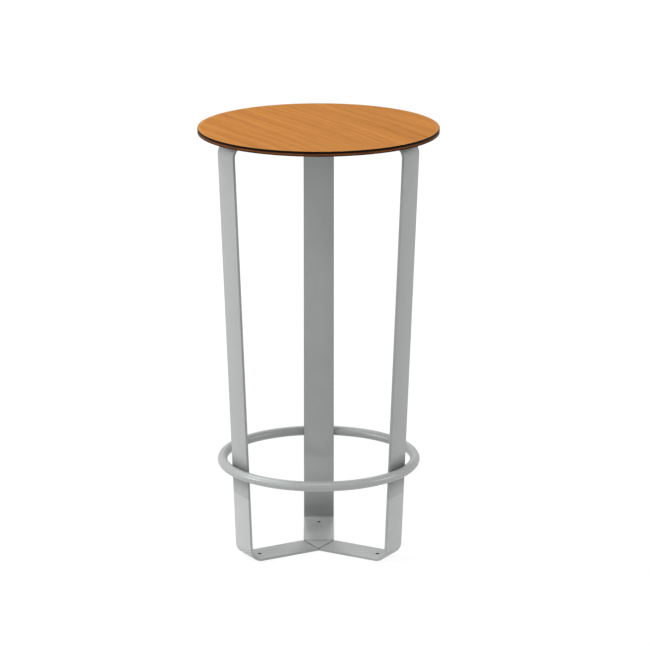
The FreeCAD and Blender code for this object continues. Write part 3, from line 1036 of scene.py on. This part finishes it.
def makeStrap(name):
    thickness = strap["thickness"]
    height = corners("rear_leg")[1].z
    piece = drawSkin(name, height)
    wall = piece.modifiers.new("wall", "SOLIDIFY")
    wall.thickness = thickness
    wall.offset = -1
    wall.use_even_offset = True
    applyModifiers(piece)

    def onWeldEdge(point):
        # the inner edge of either cut end
        level = min(abs(point.z - thickness), abs(point.z - height + thickness))
        return abs(point.x - strap["end"]) < closeBy and level < closeBy

    chooseEdges(piece, lambda a, b: onWeldEdge(a) and onWeldEdge(b))
    bpy.ops.mesh.bevel(offset=strap["groove"], segments=1, affect="EDGES")
    drillStrap(piece, anchorHole["place"], 0, anchorHole["radius"])
    for across in strap["screwPlaces"]:
        drillStrap(piece, across, height, strap["screwRadius"])
    easeEdges(piece, strap["edgeRounding"], strap["edgeSegments"], strap["edgeAngle"])
    smoothed(piece, strap["smoothAngle"])
    return piece


firstStrap = makeStrap("strapBlank")
for side, turn in legTurns.items():
    leg = turnedCopy(firstStrap, side + "Strap", toRear + turn)
    standsFor(leg, shadedStrapCoat, "powder_coat", side + "_leg")
bpy.data.objects.remove(firstStrap)
print("legs made")

# weld beads, on the joining plates and on the ring


def makeRipples(name, centre, bead):
    # a weld bead along X: a round bar whose every other ring is swollen
    length, ripples = bead["length"], bead["ripples"]
    clearSelection()
    bpy.ops.mesh.primitive_cylinder_add(
        vertices=bead["sides"], radius=bead["radius"], depth=length, location=centre,
        rotation=(0, math.pi / 2, 0))
    bar = started(name)
    applyPlace(bar)
    chooseEdges(bar, lambda a, b: abs(a.x - b.x) > length / 2)
    bpy.ops.mesh.subdivide(number_cuts=2 * ripples - 1)
    step = length / (2 * ripples)

    def onSwollenRing(point):
        count = (point.x - centre[0] + length / 2) / step
        return round(count) % 2 == 1

    chooseEdges(bar, lambda a, b: onSwollenRing(a) and onSwollenRing(b))
    bpy.ops.transform.shrink_fatten(value=bead["rippleHeight"])
    chooseFaces(bar, lambda middle, normal: abs(normal.x) > bead["endFrom"])
    bpy.ops.mesh.inset(thickness=bead["radius"] * bead["endInset"])
    rounded = bar.modifiers.new("rounded", "SUBSURF")
    rounded.levels = rounded.render_levels = 1
    applyModifiers(bar)
    smoothed(bar, bead["smoothAngle"])
    return bar


# joining plates: a triangle with a weld groove along each side, and a low seam in each groove

plate = {
    "corner": 0.0433,
    "groove": 0.0028,
    "edgeRounding": 0.0003,
    "edgeSegments": 2,
    "edgeAngle": 35,
    "smoothAngle": 35,
}

plateSeam = {
    "place": (0, 0.0217, 0.0048),
    "length": 0.070,
    "radius": 0.0026,
    "flatness": 0.35,
    "sides": 10,
    "ripples": 44,
    "rippleHeight": 0.0002,
    "endFrom": 0.99,
    "endInset": 0.4,
    "smoothAngle": 60,
}


def makePlate(name):
    # as thick as the strap, with its three sides against the three straps
    thickness = strap["thickness"]
    clearSelection()
    bpy.ops.mesh.primitive_cylinder_add(
        vertices=3, radius=plate["corner"], depth=thickness, location=(0, 0, thickness / 2),
        rotation=(0, 0, math.pi))
    triangle = started(name)
    applyPlace(triangle)
    chooseEdges(triangle, lambda a, b: min(a.z, b.z) > thickness - closeBy)
    bpy.ops.mesh.bevel(offset=plate["groove"], segments=1, affect="EDGES")
    easeEdges(triangle, plate["edgeRounding"], plate["edgeSegments"], plate["edgeAngle"])
    smoothed(triangle, plate["smoothAngle"])
    return triangle


def makeSeam(name):
    seam = makeRipples(name, plateSeam["place"], plateSeam)
    chooseFaces(seam, lambda middle, normal: True)
    bpy.ops.transform.resize(value=(1, 1, plateSeam["flatness"]), center_override=plateSeam["place"])
    return seam


def makeJoints():
    # each piece at the floor has its like upside down under the top
    topLevel = corners("rear_leg")[1].z
    blank = makePlate("plateBlank")
    for end, lift, flip in (("base", 0, False), ("head", topLevel, True)):
        standsFor(turnedCopy(blank, end + "Plate", 0, lift, flip), powderCoat, "powder_coat",
                  end + "_plate")
    bpy.data.objects.remove(blank)
    blank = makeSeam("seamBlank")
    for side, turn in legTurns.items():
        for end, lift, flip in (("base", 0, False), ("head", topLevel, True)):
            seam = turnedCopy(blank, side + end.capitalize() + "Seam", turn, lift, flip)
            standsFor(seam, seamCoat, "powder_coat", end + "_weld_" + side)
    bpy.data.objects.remove(blank)


makeJoints()
print("joining plates and seams made")

# foot ring: a round tube swept round the table

ring = {
    "tubeSides": 48,
    "steps": 288,
}


def makeRing():
    radius, level, tube = ringMeasures()
    clearSelection()
    bpy.ops.mesh.primitive_circle_add(
        vertices=ring["tubeSides"], radius=tube, location=(radius, 0, level),
        rotation=(math.pi / 2, 0, 0))
    loop = started("footRing")
    applyPlace(loop)
    chooseEdges(loop, lambda a, b: True)
    bpy.ops.mesh.spin(steps=ring["steps"], angle=2 * math.pi, center=(0, 0, 0), axis=(0, 0, 1))
    cleanNormals(loop)
    smoothed(loop)
    standsFor(loop, shadedRingCoat, "powder_coat", "foot_ring")


makeRing()
print("foot ring made")

# weld beads that carry the ring on the straps' outer corners

ringBead = {
    "length": 0.015,
    "radius": 0.0029,
    "lowering": 0.0006,
    "sides": 16,
    "ripples": 7,
    "rippleHeight": 0.0005,
    "endFrom": 0.99,
    "endInset": 0.4,
    "smoothAngle": 60,
    "ends": {"rear": ("right", "left"), "left": ("back", "front"), "right": ("front", "back")},
}


def makeRingBeads():
    # modelled behind the rear leg, at the middle of the space of its first weld, and copied round
    low, high = corners("ring_weld_rear_right")
    middle = (low + high) / 2
    middle.z -= ringBead["lowering"]
    blank = makeRipples("beadBlank", middle, ringBead)
    focusOn(blank)
    bpy.ops.object.duplicate(linked=False)
    opposite = started("oppositeBlank")
    opposite.location = (-2 * middle.x, 0, 0)
    applyPlace(opposite)
    for side, turn in legTurns.items():
        for source, end in zip((blank, opposite), ringBead["ends"][side]):
            bead = turnedCopy(source, side + "Leg" + end.capitalize() + "Bead", turn)
            standsFor(bead, beadCoat, "powder_coat", "ring_weld_" + side + "_" + end)
    bpy.data.objects.remove(blank)
    bpy.data.objects.remove(opposite)


makeRingBeads()
print("ring welds made")

for nodeName in ("top_screws", "top_washers"):
    dressNode(nodeName, zinc)
dressNode("top_inserts", brass)
print("joints and fasteners dressed")
